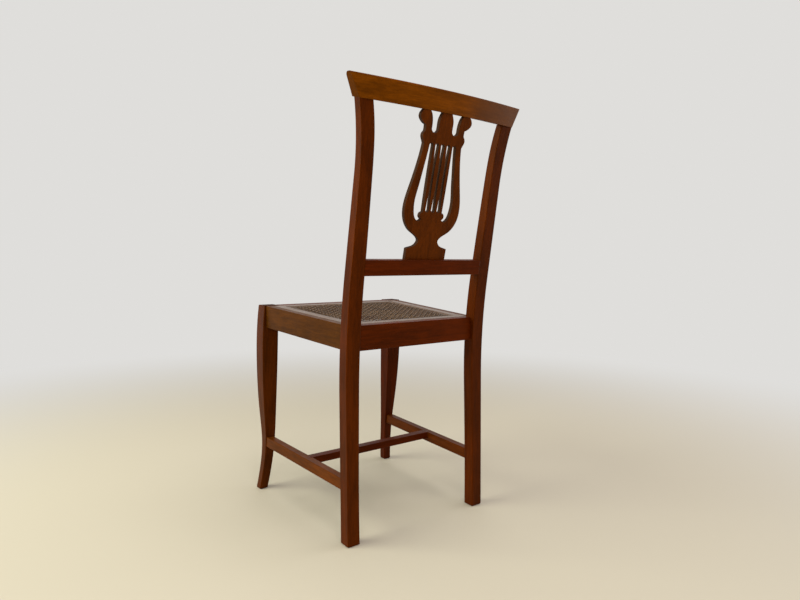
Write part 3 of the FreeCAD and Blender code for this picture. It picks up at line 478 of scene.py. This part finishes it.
def straight_strands(weave):
    """Pairs of strands from front to back, then pairs from side to side."""
    step = cane_pitch / steps_per_pitch
    shelf = weave_depth - strand_thickness
    length = weave.back - weave.front
    half_steps = int(weave.front_half / step)
    samples_y = [weave.front + k * step for k in range(int(length / step) + 1)]
    samples_x = [k * step for k in range(-half_steps, half_steps + 1)]
    columns = int(weave.front_half / cane_pitch) + 1
    rows = int(length / cane_pitch) + 1
    pair = ((-0.5 * pair_gap, 0.0), (0.5 * pair_gap, math.pi))

    for i in range(-columns, columns + 1):
        for offset, phase in pair:
            x = i * cane_pitch + offset + random.uniform(-cane_wander, cane_wander)
            weave.strand([(x, y) for y in samples_y], strand_width,
                         lambda px, py: cane_clear + shelf * (
                             0.15 + 0.85 * weave.wave(py - weave.middle, phase)))
    for j in range(-rows // 2, rows // 2 + 1):
        for offset, phase in pair:
            y = (weave.middle + j * cane_pitch + offset
                 + random.uniform(-cane_wander, cane_wander))
            weave.strand([(x, y) for x in samples_x], strand_width,
                         lambda px, py: cane_clear + shelf * (
                             0.15 + 0.85 * weave.wave(px, math.pi / 2 + phase)))


def diagonal_strands(weave):
    step = cane_pitch / steps_per_pitch
    shelf = weave_depth - strand_thickness
    length = weave.back - weave.front
    reach = int((weave.front_half * 2 + length) / cane_pitch)
    steps = (int(length / cane_pitch) + 1) * steps_per_pitch
    for turn in (1, -1):
        for n in range(-reach, reach + 1):
            start = (n + 0.5) * cane_pitch
            points = [(start + turn * k * step, weave.middle + k * step)
                      for k in range(-steps, steps + 1)]
            weave.strand(points, diagonal_width,
                         lambda px, py: cane_clear * 0.5 + shelf * weave.wave(
                             py - weave.middle, math.pi / 2 * turn))


def woven_cane():
    random.seed(weave_seed)
    weave = Weave()
    straight_strands(weave)
    diagonal_strands(weave)

    mesh = bpy.data.meshes.new("woven_cane")
    mesh.from_pydata(weave.verts, [], weave.faces)
    mesh.update()
    mesh.polygons.foreach_set("use_smooth", [True] * len(mesh.polygons))
    # Each point's painted shade, for the cane's material to read
    painted_shade = mesh.attributes.new("painted_shade", "FLOAT", "POINT")
    painted_shade.data.foreach_set("value", weave.painted_shade_levels)
    piece = bpy.data.objects.new("woven_cane", mesh)
    bpy.context.scene.collection.objects.link(piece)
    mesh.materials.append(cane_material())
    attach(piece, "seat")
    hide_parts("cane_panel")


def studio_floor():
    """A wide floor whose far part melts into the backdrop."""
    mesh = bpy.data.meshes.new("studio_floor")
    r = floor_reach
    mesh.from_pydata([(-r, -r, 0), (r, -r, 0), (r, r, 0), (-r, r, 0)], [], [(0, 1, 2, 3)])
    floor = bpy.data.objects.new("studio_floor", mesh)
    bpy.context.scene.collection.objects.link(floor)
    s = Shader("studio_floor")
    coordinates = s.add("ShaderNodeTexCoord")
    length = s.add("ShaderNodeVectorMath", operation="LENGTH")
    s.link(coordinates.outputs["Object"], length.inputs[0])
    fade = s.spread(length.outputs["Value"], fade_start, fade_end)
    plain = s.add("ShaderNodeBsdfPrincipled")
    grit = s.noise(s.place(), 60.0, 3.0, 0.6)
    s.link(s.mix(s.math("MULTIPLY", grit, 0.1), floor_colour, shade(floor_colour, 0.9)),
           plain.inputs["Base Color"])
    plain.inputs["Roughness"].default_value = 0.6
    plain.inputs["Specular IOR Level"].default_value = 0.2
    glow = s.add("ShaderNodeEmission")
    set_colour(glow.inputs["Color"], backdrop_colour)
    s.feed(glow.inputs["Strength"], 1.0)
    path = s.add("ShaderNodeLightPath")
    seen = s.math("MAXIMUM", path.outputs["Is Camera Ray"],
                  s.math("MAXIMUM", path.outputs["Is Glossy Ray"],
                         path.outputs["Is Transmission Ray"]))
    both = s.add("ShaderNodeMixShader")
    s.link(s.math("MULTIPLY", fade, seen), both.inputs["Fac"])
    s.link(plain.outputs[0], both.inputs[1])
    s.link(glow.outputs[0], both.inputs[2])
    mesh.materials.append(s.finish(both))


def studio_world():
    """Soft light all round; camera, mirror and glass rays see the backdrop instead."""
    world = bpy.data.worlds.new("studio")
    bpy.context.scene.world = world
    world.use_nodes = True
    tree = world.node_tree
    tree.nodes.clear()

    def background(colour, strength):
        node = tree.nodes.new("ShaderNodeBackground")
        set_colour(node.inputs["Color"], colour)
        node.inputs["Strength"].default_value = strength
        return node.outputs[0]

    def larger(a, b):
        node = tree.nodes.new("ShaderNodeMath")
        node.operation = "MAXIMUM"
        tree.links.new(a, node.inputs[0])
        tree.links.new(b, node.inputs[1])
        return node.outputs[0]

    path = tree.nodes.new("ShaderNodeLightPath").outputs
    seen = larger(path["Is Camera Ray"], larger(path["Is Glossy Ray"],
                                                path["Is Transmission Ray"]))
    both = tree.nodes.new("ShaderNodeMixShader")
    tree.links.new(seen, both.inputs["Fac"])
    tree.links.new(background(ambient, ambient_strength), both.inputs[1])
    tree.links.new(background(backdrop_colour, 1.0), both.inputs[2])
    out = tree.nodes.new("ShaderNodeOutputWorld")
    tree.links.new(both.outputs[0], out.inputs["Surface"])


def area_light(name, place, size, energy, colour):
    lamp = bpy.data.lights.new(name, "AREA")
    lamp.shape = "RECTANGLE"
    lamp.size, lamp.size_y = size
    lamp.energy = energy
    lamp.color = colour
    holder = bpy.data.objects.new(name, lamp)
    bpy.context.scene.collection.objects.link(holder)
    holder.location = place
    holder.rotation_mode = "QUATERNION"
    direction = Vector(light_target) - Vector(place)
    holder.rotation_quaternion = direction.to_track_quat("-Z", "Y")


def photo_camera():
    """The photograph's camera: a level turn, a small pitch and a small roll."""
    azimuth = math.radians(camera_azimuth)
    elevation = math.radians(camera_elevation)
    roll = math.radians(camera_roll)
    back = Vector((math.sin(azimuth) * math.cos(elevation),
                   -math.cos(azimuth) * math.cos(elevation), math.sin(elevation)))
    right = (-back).cross(Vector((0, 0, 1))).normalized()
    up = right.cross(-back)
    turned_right = math.cos(roll) * right + math.sin(roll) * up
    turned_up = math.cos(roll) * up - math.sin(roll) * right
    data = bpy.data.cameras.new("camera")
    data.lens = camera_lens
    data.sensor_width = camera_sensor
    holder = bpy.data.objects.new("camera", data)
    bpy.context.scene.collection.objects.link(holder)
    turn = Matrix((turned_right, turned_up, back)).transposed().to_4x4()
    holder.matrix_world = Matrix.Translation(camera_place) @ turn
    bpy.context.scene.camera = holder


dress_wood()
dress_screws()
woven_cane()

studio_floor()
studio_world()
for lamp in lamps:
    area_light(*lamp)
photo_camera()

bpy.context.scene.view_settings.view_transform = "Standard"
